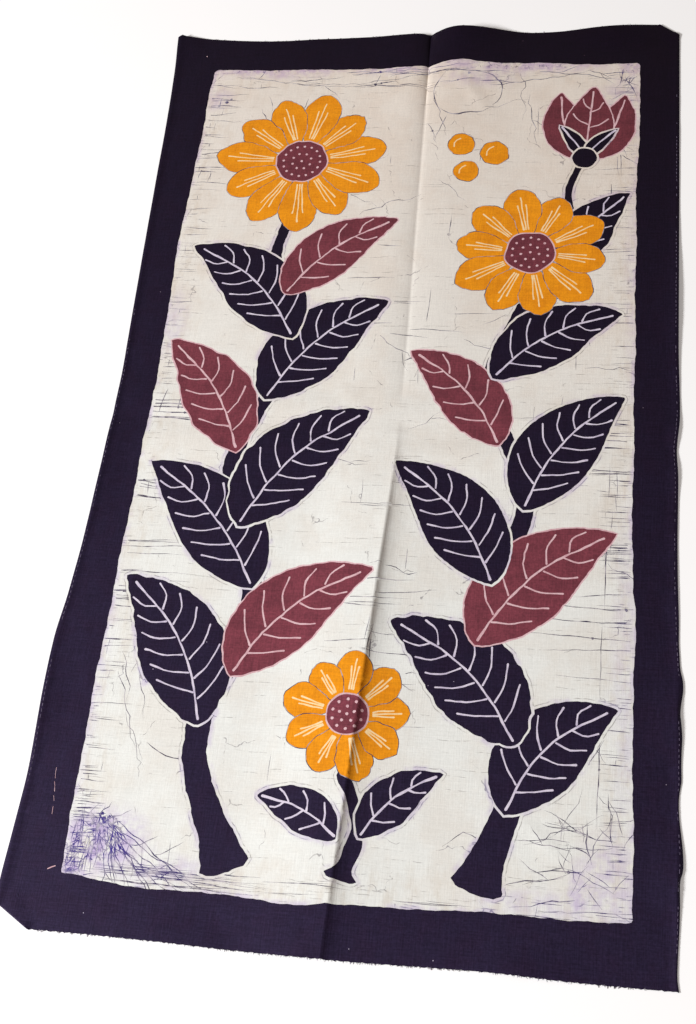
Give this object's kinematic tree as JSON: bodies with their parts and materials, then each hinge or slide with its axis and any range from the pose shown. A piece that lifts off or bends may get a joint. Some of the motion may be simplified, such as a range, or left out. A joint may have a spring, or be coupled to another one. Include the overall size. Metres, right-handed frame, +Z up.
{
  "type": "batik cloth",
  "caption": "Rectangular batik cotton hanging laid out flat, with an indigo border round a crackled cream field and creases from being folded in quarters.",
  "frame": {"origin": "middle of the cloth's box, on the surface it lies on", "axes": "+X to the cloth's right, +Y towards its far end, +Z up out of its dyed face"},
  "size_m": [0.6035, 1.0659, 0.0143],
  "materials": {
    "dyed_cotton": "matt plain-weave cotton with wax-resist dye",
    "cotton_thread": "matt cotton yarn, partly dyed"
  },
  "bodies": {
    "root": {"batik_cloth": "dyed_cotton"}
  },
  "joints": []
}
